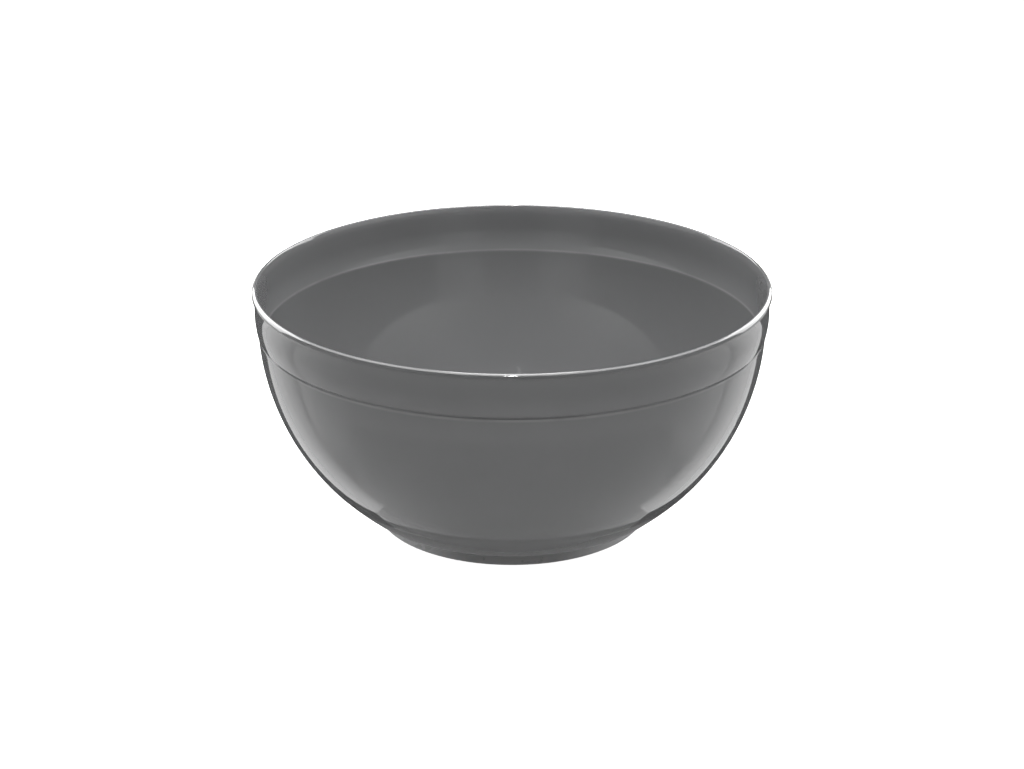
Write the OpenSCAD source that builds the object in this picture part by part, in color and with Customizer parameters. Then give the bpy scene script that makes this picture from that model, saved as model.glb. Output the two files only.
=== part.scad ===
// Serving bowl: a deep, round, one-piece moulded bowl on a pressed-on foot ring.
// Frame: +Z up, Z is the axis of the bowl, the origin is the middle of the foot's resting face.
// The bowl's section is one closed outline of tangent arcs, turned around Z.

/* [Bowl] */
// Diameter over the rim lip
bowl_d = 280; // [240:1:320]
// Height from the resting face to the top of the rim
bowl_h = 134; // [122:1:146]
// Thickness of the round wall and the floor
wall = 2.6; // [2.4:0.1:3]

/* [Rim lip] */
// Height of the lip around the rim
lip_h = 3; // [2.6:0.1:3.4]
// How far the lip reaches past the upright part of the collar
lip_reach = 1.2; // [1.1:0.05:1.6]
// Angle that the lip's outer face turns through, from upright at its lower edge
face_turn = 60; // [45:1:64]
// Radius of the round along the top of the rim
crest_r = 0.8; // [0.5:0.05:0.9]
// Radius of the lip's lower edge
lip_edge = 0.4; // [0.2:0.05:0.5]
// Angle from upright of the inside of the rim, just under its top
rim_lean = 18; // [15:1:22]

/* [Collar] */
// Thickness of the collar
collar_wall = 2.2; // [1.8:0.1:2.4]
// Radius of the outward flare from the upright part up to the lip
flare_r = 36; // [32:1:50]
// Height of the flare
flare_h = 6; // [4:0.5:7]
// Height of the upright part
upright_h = 4.4; // [3:0.1:6]
// Radius of the inward bend from the upright part down to the crease
bend_r = 44; // [40:1:60]
// Height of the bend
bend_h = 10; // [8:0.1:12]

/* [Crease] */
// Height of the fine V groove between the bend and the round wall
groove_h = 1.6; // [1:0.1:2]
// Depth of the groove, measured from its lower edge
groove_depth = 0.3; // [0.2:0.05:0.4]
// How far the round wall starts inside the end of the bend
crease_step = 0.55; // [0.4:0.05:0.7]

/* [Wall] */
// Angle from upright at which the round wall starts under the crease
wall_lean = 2.9; // [0:0.1:6]
// Outer radius of the corner between the wall and the floor
corner_r = 12; // [8:0.5:13]
// Diameter of the flat underside, inside the corner
floor_d = 154; // [153:0.5:165]

/* [Foot] */
// Outer diameter of the foot ring
foot_d = 149; // [140:1:152]
// Height of the foot ring
foot_h = 7.8; // [6:0.1:9]
// Width of the foot ring
foot_w = 7; // [6:0.1:9]
// Radius of the foot ring's lower edges
foot_round = 1.2; // [0.8:0.1:1.6]
// Width of the rib under the floor that the ring is pressed on
rib_w = 2; // [1.6:0.1:2.4]
// Thickness of the ring under the rib
foot_sole = 2; // [1.8:0.1:2.6]

/* [Gate mark] */
// Diameter of the shallow dish around the gate, under the floor
dish_d = 14; // [10:1:20]
// Depth of the dish
dish_depth = 0.5; // [0.3:0.1:0.8]
// Diameter of the gate's stub inside the dish
stub_d = 2.6; // [2:0.1:4]

/* [Hidden] */
$fn = 180;

// Largest gap between a true arc and the outline's straight steps
chord_error = 0.01;

bowl_r = bowl_d / 2;
collar_r = bowl_r - lip_reach;
collar_in = collar_r - collar_wall;
lip_z = bowl_h - lip_h;
flare_z = lip_z - flare_h;
bend_z = flare_z - upright_h;
floor_z = foot_h + wall;

// The lip's outer face is upright at its lower edge and curves in to meet the crest smoothly
face_z = lip_z + lip_edge;
face_r = crest_r + (bowl_h - crest_r - face_z) / sin(face_turn);
face_c = [bowl_r - face_r, face_z];
edge_c = [bowl_r - lip_edge, face_z];
crest_c = on_arc(face_c, face_r - crest_r, face_turn);

// The inside of the rim leaves the crest with its lean and ends upright in the collar
rim_top = on_arc(crest_c, crest_r, 180 - rim_lean);
rim_in_r = (rim_top.x - collar_in) / (1 - cos(rim_lean));
rim_in_c = [collar_in + rim_in_r, rim_top.y - rim_in_r * sin(rim_lean)];

// The flare turns outward from the upright part, about a centre outside the bowl
flare_angle = asin(flare_h / flare_r);
flare_c = [collar_r + flare_r, flare_z];

// The bend turns inward from the upright part, about a centre inside the bowl
bend_angle = asin(bend_h / bend_r);
bend_c = [collar_r - bend_r, bend_z];
bend_end = on_arc(bend_c, bend_r, -bend_angle);

// The groove runs in from the end of the bend, then out to the start of the round wall
wall_top = bend_end - [crease_step, groove_h];
groove_bottom = wall_top + [-groove_depth, groove_h / 2];

// The one radius that starts at the top of the wall with its lean and meets the corner smoothly
corner_c = [floor_d / 2, foot_h + corner_r];
to_corner = corner_c - wall_top;
to_centre = [-cos(wall_lean), sin(wall_lean)];
wall_r = (to_corner * to_corner - corner_r * corner_r) / (2 * (to_corner * to_centre - corner_r));
wall_c = wall_top + wall_r * to_centre;
corner_angle = angle_of(corner_c - wall_c);

// The inner crease is where the circle inside the bend crosses the circle inside the round wall
bend_in_r = bend_r - collar_wall;
wall_in_r = wall_r - wall;
apart = norm(wall_c - bend_c);
inward = (wall_c - bend_c) / apart;
along = (bend_in_r * bend_in_r - wall_in_r * wall_in_r + apart * apart) / (2 * apart);
across = sqrt(bend_in_r * bend_in_r - along * along);
inner_crease = bend_c + along * inward + across * [-inward.y, inward.x];
bend_in_angle = angle_of(inner_crease - bend_c);
wall_in_angle = angle_of(inner_crease - wall_c);

foot_r = foot_d / 2;
foot_in = foot_r - foot_w;
rib_in = foot_r - (foot_w + rib_w) / 2;
rib_out = rib_in + rib_w;

function on_arc(c, r, a) = c + r * [cos(a), sin(a)];

function angle_of(v) = atan2(v.y, v.x);

function steps(r, sweep) = ceil(abs(sweep) / (2 * acos(1 - chord_error / r)));

// Points along an arc from angle a0 to angle a1; first = 1 leaves out the point at a0
function arc(c, r, a0, a1, first = 0) =
    let (n = steps(r, a1 - a0))
    [for (i = [first : n]) on_arc(c, r, a0 + (a1 - a0) * i / n)];

function outer_side() = concat(
    arc(crest_c, crest_r, 180 - rim_lean, face_turn, 1),
    arc(face_c, face_r, face_turn, 0, 1),
    arc(edge_c, lip_edge, 0, -90, 1),
    arc(flare_c, flare_r, 180 - flare_angle, 180),
    arc(bend_c, bend_r, 0, -bend_angle),
    [groove_bottom],
    arc(wall_c, wall_r, -wall_lean, corner_angle),
    arc(corner_c, corner_r, corner_angle, -90, 1)
);

function rib_points() = [
    [rib_out, foot_h],
    [rib_out, foot_sole],
    [rib_in, foot_sole],
    [rib_in, foot_h]
];

// The inner side is the outer side moved in by the thickness, without the groove
function inner_side() = concat(
    arc(corner_c, corner_r - wall, -90, corner_angle),
    arc(wall_c, wall_in_r, corner_angle, wall_in_angle, 1),
    arc(bend_c, bend_in_r, bend_in_angle, 0, 1),
    arc(rim_in_c, rim_in_r, 180, 180 - rim_lean)
);

module bowl_section() {
    polygon(concat(outer_side(), rib_points(), [[0, foot_h], [0, floor_z]], inner_side()));
}

// A shallow dish that leaves the gate's stub standing in its middle
module gate_dish() {
    difference() {
        cylinder(h = 2 * dish_depth, d = dish_d, center = true);
        cylinder(h = 3 * dish_depth, d = stub_d, center = true);
    }
}

// The bowl itself, with the rib that the foot ring sits on
module bowl_shell() {
    color("#626365")
        difference() {
            rotate_extrude()
                bowl_section();
            translate([0, 0, foot_h])
                gate_dish();
        }
}

module foot_section() {
    polygon(concat(
        arc([foot_in + foot_round, foot_round], foot_round, 180, 270),
        arc([foot_r - foot_round, foot_round], foot_round, -90, 0),
        [[foot_r, foot_h], [rib_out, foot_h], [rib_out, foot_sole]],
        [[rib_in, foot_sole], [rib_in, foot_h], [foot_in, foot_h]]
    ));
}

// The non-slip ring, with the groove that takes the rib
module foot_ring() {
    color("#5c5d5f")
        rotate_extrude()
            foot_section();
}

bowl_shell();
foot_ring();
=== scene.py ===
"""Serving bowl: looks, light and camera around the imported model.

The bowl and its foot ring are turned again here as smooth meshes on the same section as the CAD
parts, with the fine edges that a moulded bowl has. The section is in mm, and so are the names that
end in _MM; everything else is in metres.
"""

import math

import bmesh
import bpy
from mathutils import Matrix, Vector


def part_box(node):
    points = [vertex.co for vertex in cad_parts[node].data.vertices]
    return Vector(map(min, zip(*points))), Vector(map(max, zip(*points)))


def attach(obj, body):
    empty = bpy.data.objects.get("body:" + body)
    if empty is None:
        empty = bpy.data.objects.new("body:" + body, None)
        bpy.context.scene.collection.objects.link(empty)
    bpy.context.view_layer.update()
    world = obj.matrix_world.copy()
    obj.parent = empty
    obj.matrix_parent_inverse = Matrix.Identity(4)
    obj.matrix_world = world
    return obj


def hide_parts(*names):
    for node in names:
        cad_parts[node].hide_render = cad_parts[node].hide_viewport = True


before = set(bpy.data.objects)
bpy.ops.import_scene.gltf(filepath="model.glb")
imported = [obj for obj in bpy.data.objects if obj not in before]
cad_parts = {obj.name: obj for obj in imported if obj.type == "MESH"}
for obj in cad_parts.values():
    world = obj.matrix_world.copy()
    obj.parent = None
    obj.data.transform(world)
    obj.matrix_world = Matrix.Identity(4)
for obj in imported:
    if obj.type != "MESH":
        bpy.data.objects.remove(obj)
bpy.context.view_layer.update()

MM = 0.001
AROUND = 288  # steps around the bowl

# ---------------------------------------------------------------- section of the bowl, in mm

shell_lo, shell_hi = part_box("bowl_shell")
foot_lo, foot_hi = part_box("foot_ring")

RIM_R = shell_hi.x / MM
RIM_Z = shell_hi.z / MM
FOOT_R = foot_hi.x / MM
FOOT_H = foot_hi.z / MM

WALL = 2.6
LIP_H = 3.0
LIP_REACH = 1.2
FACE_TURN = 60.0
CREST_R = 0.8
LIP_EDGE = 0.4
RIM_LEAN = 18.0
COLLAR_WALL = 2.2
FLARE_R = 36.0
FLARE_H = 6.0
UPRIGHT_H = 4.4
BEND_R = 44.0
BEND_H = 10.0
GROOVE_H = 1.6
GROOVE_DEPTH = 0.3
CREASE_STEP = 0.55
WALL_LEAN = 2.9
CORNER_R = 12.0
FLOOR_R = 77.0
FOOT_W = 7.0
FOOT_ROUND = 1.2
RIB_W = 2.0
FOOT_SOLE = 2.0
DISH_R = 7.0
DISH_DEPTH = 0.5
STUB_R = 1.3
SOFT_EDGE = 0.15  # small rounds that moulded edges have
INNER_CREASE_R = 0.9


def on_arc(c, r, a):
    """The point of a circle at angle a, in degrees."""
    a = math.radians(a)
    return (c[0] + r * math.cos(a), c[1] + r * math.sin(a))


def arc(c, r, a0, a1, gap=0.004):
    """Points along an arc, close enough that its chords stay within gap of it."""
    sweep = math.radians(abs(a1 - a0))
    n = max(2, math.ceil(sweep / (2 * math.acos(1 - min(gap / r, 0.5)))))
    return [on_arc(c, r, a0 + (a1 - a0) * i / n) for i in range(n + 1)]


def angle_of(v):
    """The direction of a vector, in degrees."""
    return math.degrees(math.atan2(v[1], v[0]))


def rounded(before, corner, after, r):
    """The corner between two points, rounded to radius r where its sides are long enough."""
    before, corner, after = (Vector(p) for p in (before, corner, after))
    to_before = (before - corner).normalized()
    to_after = (after - corner).normalized()
    half = to_before.angle(to_after) / 2
    along = min(r / math.tan(half), 0.45 * (before - corner).length, 0.45 * (after - corner).length)
    r = along * math.tan(half)
    centre = corner + (to_before + to_after).normalized() * r / math.sin(half)
    a0 = angle_of(corner + to_before * along - centre)
    turn = (angle_of(corner + to_after * along - centre) - a0 + 180) % 360 - 180
    return arc(centre, r, a0, a0 + turn, 0.002)


def bowl_section():
    """The bowl's outline from the middle of its underside, up the outside and down the inside."""
    collar_r = RIM_R - LIP_REACH
    collar_in = collar_r - COLLAR_WALL
    lip_z = RIM_Z - LIP_H
    flare_z = lip_z - FLARE_H
    bend_z = flare_z - UPRIGHT_H

    face_z = lip_z + LIP_EDGE
    face_r = CREST_R + (RIM_Z - CREST_R - face_z) / math.sin(math.radians(FACE_TURN))
    face_c = (RIM_R - face_r, face_z)
    edge_c = (RIM_R - LIP_EDGE, face_z)
    crest_c = on_arc(face_c, face_r - CREST_R, FACE_TURN)

    lean = math.radians(RIM_LEAN)
    rim_top = on_arc(crest_c, CREST_R, 180 - RIM_LEAN)
    rim_in_r = (rim_top[0] - collar_in) / (1 - math.cos(lean))
    rim_in_c = (collar_in + rim_in_r, rim_top[1] - rim_in_r * math.sin(lean))

    flare_angle = math.degrees(math.asin(FLARE_H / FLARE_R))
    flare_c = (collar_r + FLARE_R, flare_z)
    bend_angle = math.degrees(math.asin(BEND_H / BEND_R))
    bend_c = Vector((collar_r - BEND_R, bend_z))

    bend_end = Vector(on_arc(bend_c, BEND_R, -bend_angle))
    wall_top = bend_end - Vector((CREASE_STEP, GROOVE_H))
    groove_bottom = wall_top + Vector((-GROOVE_DEPTH, GROOVE_H / 2))

    corner_c = Vector((FLOOR_R, FOOT_H + CORNER_R))
    to_corner = corner_c - wall_top
    tilt = math.radians(WALL_LEAN)
    to_centre = Vector((-math.cos(tilt), math.sin(tilt)))
    wall_r = to_corner.length_squared - CORNER_R ** 2
    wall_r /= 2 * (to_corner.dot(to_centre) - CORNER_R)
    wall_c = wall_top + wall_r * to_centre
    corner_angle = angle_of(corner_c - wall_c)

    bend_in_r = BEND_R - COLLAR_WALL
    wall_in_r = wall_r - WALL
    apart = (wall_c - bend_c).length
    inward = (wall_c - bend_c) / apart
    along = (bend_in_r ** 2 - wall_in_r ** 2 + apart ** 2) / (2 * apart)
    across = math.sqrt(bend_in_r ** 2 - along ** 2)
    inner_crease = bend_c + along * inward + across * Vector((-inward.y, inward.x))

    wall_arc = arc(wall_c, wall_r, corner_angle, -WALL_LEAN)
    bend_arc = arc(bend_c, BEND_R, -bend_angle, 0)
    wall_in_arc = arc(wall_c, wall_in_r, angle_of(inner_crease - wall_c), corner_angle)
    bend_in_arc = arc(bend_c, bend_in_r, 0, angle_of(inner_crease - bend_c))
    lip_edge = arc(edge_c, LIP_EDGE, -90, 0, 0.002)
    flare_arc = arc(flare_c, FLARE_R, 180, 180 - flare_angle)

    outside = (
        arc(corner_c, CORNER_R, -90, corner_angle)
        + wall_arc[:-1]
        + rounded(wall_arc[-2], wall_top, groove_bottom, SOFT_EDGE)
        + rounded(wall_top, groove_bottom, bend_end, SOFT_EDGE)
        + rounded(groove_bottom, bend_end, bend_arc[1], SOFT_EDGE)
        + bend_arc[1:]
        + [(collar_r, flare_z)]
        + flare_arc[:-1]
        + rounded(flare_arc[-2], flare_arc[-1], lip_edge[0], SOFT_EDGE)
        + lip_edge
        + arc(face_c, face_r, 0, FACE_TURN, 0.002)
        + arc(crest_c, CREST_R, FACE_TURN, 180 - RIM_LEAN, 0.001)
    )
    inside = (
        arc(rim_in_c, rim_in_r, 180 - RIM_LEAN, 180)
        + bend_in_arc[:-1]
        + rounded(bend_in_arc[-2], inner_crease, wall_in_arc[1], INNER_CREASE_R)
        + wall_in_arc[1:]
        + arc(corner_c, CORNER_R - WALL, corner_angle, -90)
        + [(FLOOR_R * (1 - i / 16), FOOT_H + WALL) for i in range(1, 17)]
    )
    rib_mid = FOOT_R - FOOT_W / 2
    dish_top = FOOT_H + DISH_DEPTH
    underside = (
        [(0, FOOT_H)]
        + rounded((0, FOOT_H), (STUB_R, FOOT_H), (STUB_R, dish_top), SOFT_EDGE)
        + rounded((STUB_R, FOOT_H), (STUB_R, dish_top), (DISH_R, dish_top), SOFT_EDGE)
        + rounded((STUB_R, dish_top), (DISH_R, dish_top), (DISH_R, FOOT_H), SOFT_EDGE)
        + rounded((DISH_R, dish_top), (DISH_R, FOOT_H), (rib_mid, FOOT_H), SOFT_EDGE)
        + [
            (rib_mid - RIB_W / 2, FOOT_H),
            (rib_mid - RIB_W / 2, FOOT_SOLE),
            (rib_mid + RIB_W / 2, FOOT_SOLE),
            (rib_mid + RIB_W / 2, FOOT_H),
        ]
    )
    return underside + outside + inside


def foot_section():
    """The ring's closed outline, with the groove for the rib."""
    r_in = FOOT_R - FOOT_W
    rib_mid = FOOT_R - FOOT_W / 2
    return (
        arc((r_in + FOOT_ROUND, FOOT_ROUND), FOOT_ROUND, 180, 270)
        + arc((FOOT_R - FOOT_ROUND, FOOT_ROUND), FOOT_ROUND, -90, 0)
        + [(FOOT_R, FOOT_H), (rib_mid + RIB_W / 2, FOOT_H), (rib_mid + RIB_W / 2, FOOT_SOLE)]
        + [(rib_mid - RIB_W / 2, FOOT_SOLE), (rib_mid - RIB_W / 2, FOOT_H), (r_in, FOOT_H)]
    )


def without_repeats(points, closed):
    """The outline without points that lie on the one before."""
    kept = []
    for p in points:
        if not kept or math.dist(p, kept[-1]) > 1e-4:
            kept.append((float(p[0]), float(p[1])))
    if closed and math.dist(kept[0], kept[-1]) <= 1e-4:
        kept.pop()
    return kept


def turned(name, outline, closed, sharp_deg):
    """A mesh turned around Z from an outline in mm; ends on the axis become single points."""
    outline = without_repeats(outline, closed)
    bm = bmesh.new()
    rings = []
    for r, z in outline:
        if r < 1e-6:
            rings.append([bm.verts.new((0, 0, z * MM))] * AROUND)
            continue
        rings.append([
            bm.verts.new((
                r * MM * math.cos(2 * math.pi * k / AROUND),
                r * MM * math.sin(2 * math.pi * k / AROUND),
                z * MM,
            ))
            for k in range(AROUND)
        ])
    pairs = list(zip(rings, rings[1:]))
    if closed:
        pairs.append((rings[-1], rings[0]))
    for low, high in pairs:
        for k in range(AROUND):
            j = (k + 1) % AROUND
            corners = [low[k], low[j], high[j], high[k]]
            bm.faces.new(list(dict.fromkeys(corners)))
    bmesh.ops.recalc_face_normals(bm, faces=bm.faces)
    mesh = bpy.data.meshes.new(name)
    bm.to_mesh(mesh)
    bm.free()
    mesh.polygons.foreach_set("use_smooth", [True] * len(mesh.polygons))
    mesh.set_sharp_from_angle(angle=math.radians(sharp_deg))
    obj = bpy.data.objects.new(name, mesh)
    bpy.context.scene.collection.objects.link(obj)
    return obj


# ---------------------------------------------------------------- materials

PLASTIC_DARK = (0.104, 0.1045, 0.1065, 1)
PLASTIC_LIGHT = (0.114, 0.1145, 0.1165, 1)
PLASTIC_EDGE_HIGHLIGHT = (0.155, 0.1555, 0.157, 1)
RUBBER_DARK = (0.195, 0.1955, 0.197, 1)
RUBBER_LIGHT = (0.22, 0.2205, 0.222, 1)
RUBBER_WORN = (0.29, 0.29, 0.29, 1)
PLASTIC_IOR = 1.49
RUBBER_IOR = 1.5
PAPER_SHADE = (0.80, 0.80, 0.80, 1)
PAPER_LIGHT = (0.83, 0.83, 0.83, 1)
BLACK = (0, 0, 0, 1)
WHITE = (1, 1, 1, 1)

INNER_CREASE_Z_MM = 107.2
INNER_SIDE_R_MM = 135.2  # nearer to the axis than this is the inner side
GROOVE_FOOT_Z_MM = 108.6  # the lower edge of the outer groove
EDGE_HIGHLIGHT_MM = 1.1  # how far the painted highlight line reaches from an edge
FOOT_WEAR_MM = 1.6
PEEL_DEPTH = 0.0000012
SCRATCH_DEPTH = 0.000004
GRAIN_DEPTH = 0.000015


class Nodes:
    """A small helper that adds nodes to a material and links them."""

    def __init__(self, name):
        self.material = bpy.data.materials.new(name)
        self.material.use_nodes = True
        self.tree = self.material.node_tree
        self.shader = self.tree.nodes["Principled BSDF"]

    def add(self, kind, **settings):
        node = self.tree.nodes.new(kind)
        for key, value in settings.items():
            setattr(node, key, value)
        return node

    def link(self, out, socket):
        self.tree.links.new(out, socket)

    def noise(self, coords, scale, detail=3.0, roughness=0.5):
        node = self.add("ShaderNodeTexNoise")
        node.inputs["Scale"].default_value = scale
        node.inputs["Detail"].default_value = detail
        node.inputs["Roughness"].default_value = roughness
        self.link(coords, node.inputs["Vector"])
        return node.outputs["Fac"]

    def ranged(self, value, from_lo, from_hi, to_lo, to_hi):
        node = self.add("ShaderNodeMapRange")
        node.inputs["From Min"].default_value = from_lo
        node.inputs["From Max"].default_value = from_hi
        node.inputs["To Min"].default_value = to_lo
        node.inputs["To Max"].default_value = to_hi
        self.link(value, node.inputs["Value"])
        return node.outputs["Result"]

    def maths(self, operation, a, b):
        node = self.add("ShaderNodeMath", operation=operation)
        for socket, v in zip(node.inputs, (a, b)):
            if isinstance(v, (int, float)):
                socket.default_value = v
            else:
                self.link(v, socket)
        return node.outputs[0]

    def bump(self, height, distance, after=None):
        node = self.add("ShaderNodeBump")
        node.inputs["Strength"].default_value = 1.0
        node.inputs["Distance"].default_value = distance
        self.link(height, node.inputs["Height"])
        if after is not None:
            self.link(after, node.inputs["Normal"])
        return node.outputs["Normal"]


def height_and_radius(n):
    """Object coordinates, with the height and the distance from the bowl's axis, in metres."""
    coords = n.add("ShaderNodeTexCoord").outputs["Object"]
    parts = n.add("ShaderNodeSeparateXYZ")
    n.link(coords, parts.inputs[0])
    x2 = n.maths("MULTIPLY", parts.outputs["X"], parts.outputs["X"])
    y2 = n.maths("MULTIPLY", parts.outputs["Y"], parts.outputs["Y"])
    return coords, parts.outputs["Z"], n.maths("SQRT", n.maths("ADD", x2, y2), 0.0)


def near(n, value, middle_mm, reach_mm):
    """1 where a length is at a given size, falling to 0 at reach_mm from it."""
    off = n.maths("ABSOLUTE", n.maths("SUBTRACT", value, middle_mm * MM), 0.0)
    return n.ranged(off, 0.0, reach_mm * MM, 1.0, 0.0)


def hairlines(n, coords, turn_deg, stretch, width):
    """Long thin curved lines, as fine scratches are, in a few places only."""
    mapping = n.add("ShaderNodeMapping")
    mapping.inputs["Rotation"].default_value = (0.3, 0.9, math.radians(turn_deg))
    mapping.inputs["Scale"].default_value = stretch
    n.link(coords, mapping.inputs["Vector"])
    field = n.noise(mapping.outputs["Vector"], 1.0, 1.0)
    off = n.maths("ABSOLUTE", n.maths("SUBTRACT", field, 0.5), 0.0)
    line = n.ranged(off, 0.0, width, 1.0, 0.0)
    place = n.ranged(n.noise(coords, 28.0 + turn_deg * 0.1, 2.0), 0.52, 0.6, 0.0, 1.0)
    return n.maths("MULTIPLY", line, place)


def blended(n, fac, first, second):
    """A colour between two, each a plain colour or another node's."""
    mix = n.add("ShaderNodeMix", data_type="RGBA")
    for value, socket in ((fac, mix.inputs[0]), (first, mix.inputs[6]), (second, mix.inputs[7])):
        if isinstance(value, tuple):
            socket.default_value = value
        else:
            n.link(value, socket)
    return mix.outputs[2]


def gloss_plastic(name):
    """Moulded glossy plastic: a faint orange peel, hairline scratches, scuffs and painted highlight
    lines along the inner crease and under the outer groove.
    """
    n = Nodes(name)
    coords, height, radius = height_and_radius(n)
    colour = blended(n, n.noise(coords, 18.0, 4.0), PLASTIC_DARK, PLASTIC_LIGHT)

    inside = n.ranged(radius, INNER_SIDE_R_MM * MM, (INNER_SIDE_R_MM + 1) * MM, 1.0, 0.0)
    outside = n.maths("SUBTRACT", 1.0, inside)
    # Painted highlight: a lighter, rougher line, broken up by noise, runs along the inner crease
    # and under the outer groove in place of the light these edges catch
    inner_crease_highlight = n.maths("MULTIPLY", near(n, height, INNER_CREASE_Z_MM, EDGE_HIGHLIGHT_MM), inside)
    groove_highlight = n.maths("MULTIPLY", near(n, height, GROOVE_FOOT_Z_MM, EDGE_HIGHLIGHT_MM), outside)
    wear_and_highlight = n.maths("MAXIMUM", inner_crease_highlight, groove_highlight)
    breakup = n.ranged(n.noise(coords, 60.0, 3.0), 0.3, 0.6, 0.5, 1.0)
    colour = blended(n, n.maths("MULTIPLY", wear_and_highlight, breakup), colour, PLASTIC_EDGE_HIGHLIGHT)
    n.link(colour, n.shader.inputs["Base Color"])

    scratches = n.maths(
        "MAXIMUM",
        hairlines(n, coords, 20.0, (60.0, 9.0, 14.0), 0.006),
        hairlines(n, coords, 110.0, (80.0, 12.0, 30.0), 0.005),
    )
    scuffed = n.ranged(n.noise(coords, 45.0, 5.0, 0.62), 0.45, 0.75, 0.0, 1.0)
    rough = n.ranged(scuffed, 0.0, 1.0, 0.035, 0.07)
    rough = n.maths("ADD", rough, n.maths("MULTIPLY", scratches, 0.10))
    rough = n.maths("ADD", rough, n.maths("MULTIPLY", wear_and_highlight, 0.05))
    n.link(rough, n.shader.inputs["Roughness"])

    peel = n.bump(n.noise(coords, 520.0, 2.0), PEEL_DEPTH)
    n.link(n.bump(scratches, SCRATCH_DEPTH, after=peel), n.shader.inputs["Normal"])
    n.shader.inputs["IOR"].default_value = PLASTIC_IOR
    return n.material


def foot_rubber(name):
    """The non-slip ring: a lighter grey, satin, with a fine grain and a scuffed lower edge."""
    n = Nodes(name)
    coords, height, _ = height_and_radius(n)
    colour = blended(n, n.noise(coords, 60.0, 4.0), RUBBER_DARK, RUBBER_LIGHT)
    scuff = n.ranged(n.noise(coords, 220.0, 4.0), 0.4, 0.65, 0.0, 1.0)
    wear_and_highlight = n.maths("MULTIPLY", n.ranged(height, 0.0, FOOT_WEAR_MM * MM, 1.0, 0.0), scuff)
    n.link(blended(n, wear_and_highlight, colour, RUBBER_WORN), n.shader.inputs["Base Color"])
    rough = n.ranged(n.noise(coords, 90.0, 4.0), 0.3, 0.7, 0.24, 0.34)
    n.link(n.maths("ADD", rough, n.maths("MULTIPLY", wear_and_highlight, 0.2)), n.shader.inputs["Roughness"])
    n.link(n.bump(n.noise(coords, 1500.0, 2.0), GRAIN_DEPTH), n.shader.inputs["Normal"])
    n.shader.inputs["IOR"].default_value = RUBBER_IOR
    return n.material


def white_paper(name, glow):
    """Matt white paper that also glows a little, as on a light table."""
    n = Nodes(name)
    coords = n.add("ShaderNodeTexCoord").outputs["Object"]
    tone = blended(n, n.noise(coords, 3.0, 3.0), PAPER_SHADE, PAPER_LIGHT)
    n.link(tone, n.shader.inputs["Base Color"])
    n.shader.inputs["Roughness"].default_value = 0.9
    n.shader.inputs["Specular IOR Level"].default_value = 0.2
    n.shader.inputs["Emission Color"].default_value = WHITE
    n.shader.inputs["Emission Strength"].default_value = glow
    return n.material


def glow_card(name):
    """A studio card, black where its glow is 0 and as bright as its glow elsewhere."""
    n = Nodes(name)
    n.shader.inputs["Base Color"].default_value = BLACK
    n.shader.inputs["Specular IOR Level"].default_value = 0
    n.shader.inputs["Emission Color"].default_value = WHITE
    glow = n.add("ShaderNodeAttribute", attribute_name="glow")
    n.link(glow.outputs["Fac"], n.shader.inputs["Emission Strength"])
    return n.material


# ---------------------------------------------------------------- pieces

bowl = turned("moulded_bowl", bowl_section(), closed=False, sharp_deg=9)
bowl.data.materials.append(gloss_plastic("bowl_gloss_plastic"))
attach(bowl, "root")
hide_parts("bowl_shell")

foot = turned("non_slip_foot", foot_section(), closed=True, sharp_deg=30)
foot.data.materials.append(foot_rubber("foot_satin_rubber"))
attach(foot, "root")
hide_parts("foot_ring")

# ---------------------------------------------------------------- stage

SWEEP_FLAT_R = 3.0
SWEEP_TURN_R = 1.5
SWEEP_TOP_Z = 4.0
SWEEP_FLAT_STEPS_MM = (0, 200, 600, 1200)
TABLE_GLOW = 0.16
PAPER_GLOW = 0.9
TABLE_DROP_MM = 0.5  # the table lies this far under the paper


def sweep(name, z_mm, material):
    """A round white sweep: a flat floor that curves up into a wall far from the bowl."""
    outline = [(r_mm, z_mm) for r_mm in SWEEP_FLAT_STEPS_MM]
    outline += [
        (
            (SWEEP_FLAT_R + SWEEP_TURN_R * math.sin(math.radians(a))) / MM,
            SWEEP_TURN_R * (1 - math.cos(math.radians(a))) / MM + z_mm,
        )
        for a in range(0, 91, 6)
    ]
    outline.append(((SWEEP_FLAT_R + SWEEP_TURN_R) / MM, SWEEP_TOP_Z / MM))
    stage = turned(name, outline, closed=False, sharp_deg=60)
    stage.data.materials.append(material)
    return stage


# The paper is what the camera sees; the table under it is what lights the bowl from below
paper = sweep("paper_sweep", 0, white_paper("white_paper", PAPER_GLOW))
paper.visible_diffuse = False
paper.visible_glossy = False
paper.visible_shadow = False
table = sweep("table_sweep", -TABLE_DROP_MM, white_paper("white_table", TABLE_GLOW))
table.visible_camera = False


def glow_board(name, grid):
    """A card through a grid of (place, glow) corners, which only gloss shows."""
    bm = bmesh.new()
    layer = bm.verts.layers.float.new("glow")
    rows = []
    for line in grid:
        row = []
        for place, glow in line:
            vert = bm.verts.new(place)
            vert[layer] = glow
            row.append(vert)
        rows.append(row)
    for upper, lower in zip(rows, rows[1:]):
        for i in range(len(upper) - 1):
            bm.faces.new((upper[i], upper[i + 1], lower[i + 1], lower[i]))
    mesh = bpy.data.meshes.new(name)
    bm.to_mesh(mesh)
    bm.free()
    obj = bpy.data.objects.new(name, mesh)
    bpy.context.scene.collection.objects.link(obj)
    mesh.materials.append(glow_card(name))
    obj.visible_camera = False
    obj.visible_diffuse = False
    obj.visible_shadow = False
    obj.visible_transmission = False
    obj.visible_volume_scatter = False
    return obj


def flat_card(name, corners, glow):
    """A card between four corners, with one glow all over."""
    low_left, low_right, top_right, top_left = [(corner, glow) for corner in corners]
    return glow_board(name, [[low_left, low_right], [top_left, top_right]])


def between(steps, x):
    """The value at x of a line drawn straight from each (x, value) to the next."""
    for (x0, v0), (x1, v1) in zip(steps, steps[1:]):
        if x <= x1:
            return v0 + (v1 - v0) * (x - x0) / (x1 - x0)
    return steps[-1][1]


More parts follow.
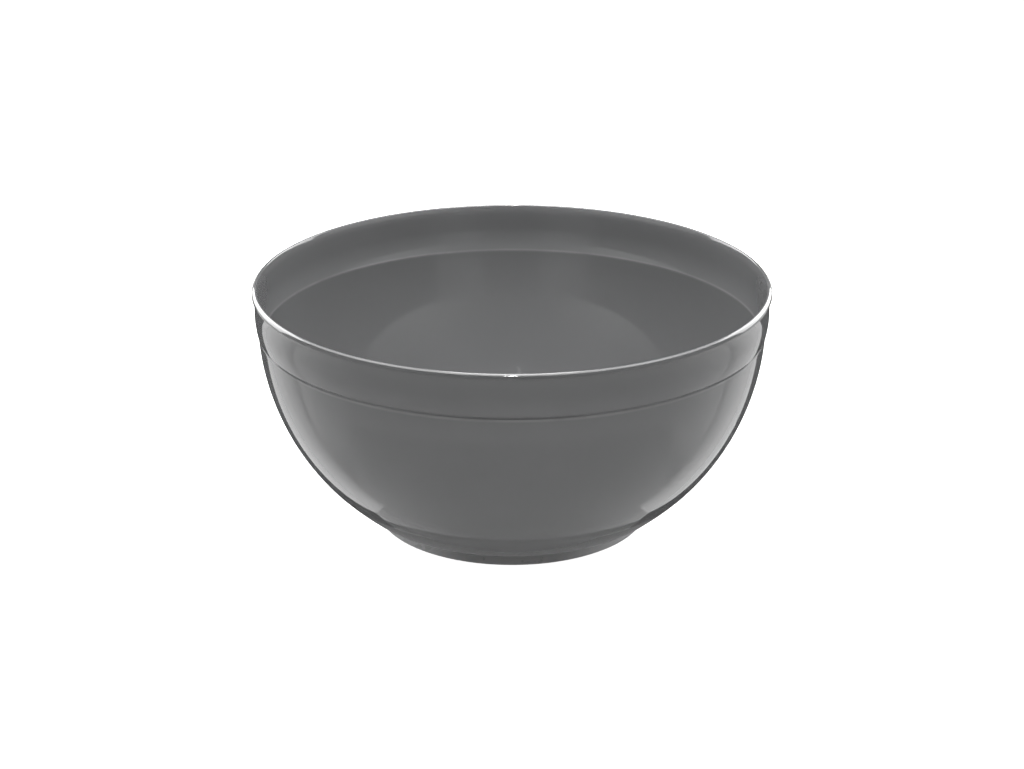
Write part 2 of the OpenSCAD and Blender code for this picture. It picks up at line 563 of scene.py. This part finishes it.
# Bright boards lie on the table to both sides. They draw the bright bands down the bowl's sides.
BOARD_Z = 0.0004
BOARD_FRONT = (0.088, -0.077)  # each board starts on the line from here
BOARD_BACK = (0.086, -0.055)  # to here
BOARD_REACH = 0.9
BOARD_GLOW = ((20, 1.0), (27, 1.4), (35, 1.5), (44, 1.4), (52, 1.3))
first_angle, last_angle = BOARD_GLOW[0][0], BOARD_GLOW[-1][0]
for side, word in ((-1, "left"), (1, "right")):
    near_line, far_line = [], []
    for angle in range(first_angle, last_angle + 1):
        share = (angle - first_angle) / (last_angle - first_angle)
        start = [f + (b - f) * share for f, b in zip(BOARD_FRONT, BOARD_BACK)]
        end = on_arc(start, BOARD_REACH, angle)
        glow = between(BOARD_GLOW, angle)
        near_line.append(((side * start[0], start[1], BOARD_Z), glow))
        far_line.append(((side * end[0], end[1], BOARD_Z), glow))
    glow_board(f"{word}_board", [near_line, far_line])

# A dark board on the table behind the bowl and a dark flag standing at its end draw the dark
# line around the bowl's outline
FLAG_Y = 0.71
FLAG_HALF = 0.68
FLAG_TOP = 0.5
FLAG_TOP_HALF = 0.3
DARK_GLOW = 0.08
back_x, back_y = BOARD_BACK
flat_card("dark_board", (
    (-back_x, back_y, BOARD_Z),
    (back_x, back_y, BOARD_Z),
    (FLAG_HALF, FLAG_Y, BOARD_Z),
    (-FLAG_HALF, FLAG_Y, BOARD_Z),
), DARK_GLOW)
flat_card("dark_flag", (
    (-FLAG_TOP_HALF, FLAG_Y, BOARD_Z),
    (FLAG_TOP_HALF, FLAG_Y, BOARD_Z),
    (FLAG_TOP_HALF, FLAG_Y, FLAG_TOP),
    (-FLAG_TOP_HALF, FLAG_Y, FLAG_TOP),
), DARK_GLOW)

# A bright arch of card, high over the front and down to both sides, draws the line of light along
# the rim. Its corners are where the rim's face, at a turn around the bowl, mirrors the camera.
ARCH_R = 2.5
ARCH_FACES = (38, 42, 48, 54, 60)
ARCH_GLOW = ((0, 8.0), (30, 7.5), (45, 5.5), (60, 4.0), (75, 3.5), (85, 2.5))
CAMERA_ELEVATION = math.radians(21.4)
VIEW = Vector((0, math.cos(CAMERA_ELEVATION), -math.sin(CAMERA_ELEVATION)))


def mirrored(turn_deg, face_deg):
    """Where the line of view goes, off a face turned around the bowl and tilted up."""
    turn, face = math.radians(turn_deg), math.radians(face_deg)
    out = math.cos(face)
    normal = Vector((out * math.sin(turn), -out * math.cos(turn), math.sin(face)))
    return VIEW - 2 * VIEW.dot(normal) * normal


def sky_card(name, faces, steps, radius, fade=None):
    """A card on a sphere around the bowl, where faces of these tilts mirror the camera."""
    last = steps[-1][0]
    rim_middle = Vector((0, 0, shell_hi[2]))
    grid = []
    for face in faces:
        line = []
        for turn in range(-last, last + 1, 5):
            glow = between(steps, abs(turn)) * (between(fade, face) if fade else 1)
            line.append((rim_middle + radius * mirrored(turn, face), glow))
        grid.append(line)
    return glow_board(name, grid)


sky_card("rim_arch", ARCH_FACES, ARCH_GLOW, ARCH_R)

# A dim card low in front draws the soft arch inside the bowl, brightest along its upper edge
FRONT_R = 2.4
FRONT_FACES = (14, 16, 18, 20, 22, 24, 26, 28, 31, 34)
FRONT_GLOW = ((0, 0.25), (8, 0.35), (14, 0.6), (26, 1.15), (40, 1.1), (50, 0.9))
FRONT_FADE = ((14, 1.0), (18, 1.0), (26, 0.5), (34, 0.1))
sky_card("front_card", FRONT_FACES, FRONT_GLOW, FRONT_R, FRONT_FADE)


def ring_card(name, z, steps, fade, reach_deg):
    """A flat ring around the foot: by radius, a glow in front and another one at the sides."""
    grid = []
    for radius, front_glow, side_glow in steps:
        line = []
        for turn in range(-reach_deg, reach_deg + 1, 5):
            x, y = on_arc((0, 0), radius, turn - 90)
            share = between(fade, abs(turn))
            line.append(((x, y, z), front_glow + (side_glow - front_glow) * share))
        grid.append(line)
    return glow_board(name, grid)


# Close to the foot the gloss sees a dim ring, and in front of it the table is brighter from a
# certain radius on. This ends the bowl's wall in a darker band above the foot.
RING_FADE = ((0, 0), (20, 0), (60, 1), (180, 1))  # the share of the side's glow, by turn
FOOT_RING = ((0.0747, 0.27, 0.2), (0.0885, 0.3, 0.2))
ring_card("foot_ring_card", 0.0007, FOOT_RING, RING_FADE, 180)
FRONT_TABLE = (
    (0.0885, 0.36, 0.2), (0.0955, 0.38, 0.2), (0.096, 0.6, 0.8),
    (0.11, 0.7, 0.9), (0.13, 0.85, 1.0), (0.25, 1.02, 1.05),
)
ring_card("front_table_card", 0.0002, FRONT_TABLE, RING_FADE, 60)

# A ring that only the matt part of the surfaces sees lights the foot, more so at its sides
FOOT_LAMP = ((0.0755, 0.45, 2.4), (0.092, 0.45, 2.4))
foot_lamp = ring_card("foot_lamp", 0.0009, FOOT_LAMP, RING_FADE, 180)
foot_lamp.visible_diffuse = True
foot_lamp.visible_glossy = False


def aimed(name, data, place, aim):
    """Puts a light in the scene, pointed at a place."""
    obj = bpy.data.objects.new(name, data)
    obj.location = place
    obj.rotation_euler = (Vector(aim) - Vector(place)).to_track_quat("-Z", "Y").to_euler()
    obj.visible_camera = False
    bpy.context.scene.collection.objects.link(obj)
    return obj


def softbox(name, place, aim, size, power):
    """A rectangular soft light."""
    data = bpy.data.lights.new(name, "AREA")
    data.shape = "RECTANGLE"
    data.size, data.size_y = size
    data.energy = power
    return aimed(name, data, place, aim)


def snooted_spot(name, place, aim, power, cone_deg, blend, radius):
    """A narrow round light with a soft edge."""
    data = bpy.data.lights.new(name, "SPOT")
    data.energy = power
    data.spot_size = math.radians(cone_deg)
    data.spot_blend = blend
    data.shadow_soft_size = radius
    return aimed(name, data, place, aim)


softbox("overhead_softbox", (0, 0, 0.55), (0, 0, 0), (0.25, 0.25), 2.8)
for side, word in ((-1, "left"), (1, "right")):
    softbox(f"{word}_back_softbox", (side * 0.74, 0.6, 0.42), (0, 0, 0.08), (0.8, 0.7), 11.5)
snooted_spot("inside_spot", (0, -1.0, 1.75), (0, 0.03, 0.1), 85, 8.5, 0.35, 0.08)

FILL = 0.15
world = bpy.data.worlds.new("soft_fill")
bpy.context.scene.world = world
world.use_nodes = True
world.node_tree.nodes["Background"].inputs["Color"].default_value = WHITE
world.node_tree.nodes["Background"].inputs["Strength"].default_value = FILL

# ---------------------------------------------------------------- camera

CAMERA_DISTANCE = 1.4
CAMERA_TARGET = Vector((0, 0, 0.07427))
FOCAL_PX = 2555.0
FRAME_W_PX = 1024.0
SENSOR_MM = 36.0

camera_data = bpy.data.cameras.new("camera")
camera_data.sensor_width = SENSOR_MM
camera_data.lens = FOCAL_PX * SENSOR_MM / FRAME_W_PX
camera = bpy.data.objects.new("camera", camera_data)
camera.location = CAMERA_TARGET - VIEW * CAMERA_DISTANCE
camera.rotation_euler = VIEW.to_track_quat("-Z", "Y").to_euler()
bpy.context.scene.collection.objects.link(camera)
bpy.context.scene.camera = camera

bpy.context.scene.view_settings.view_transform = "Standard"
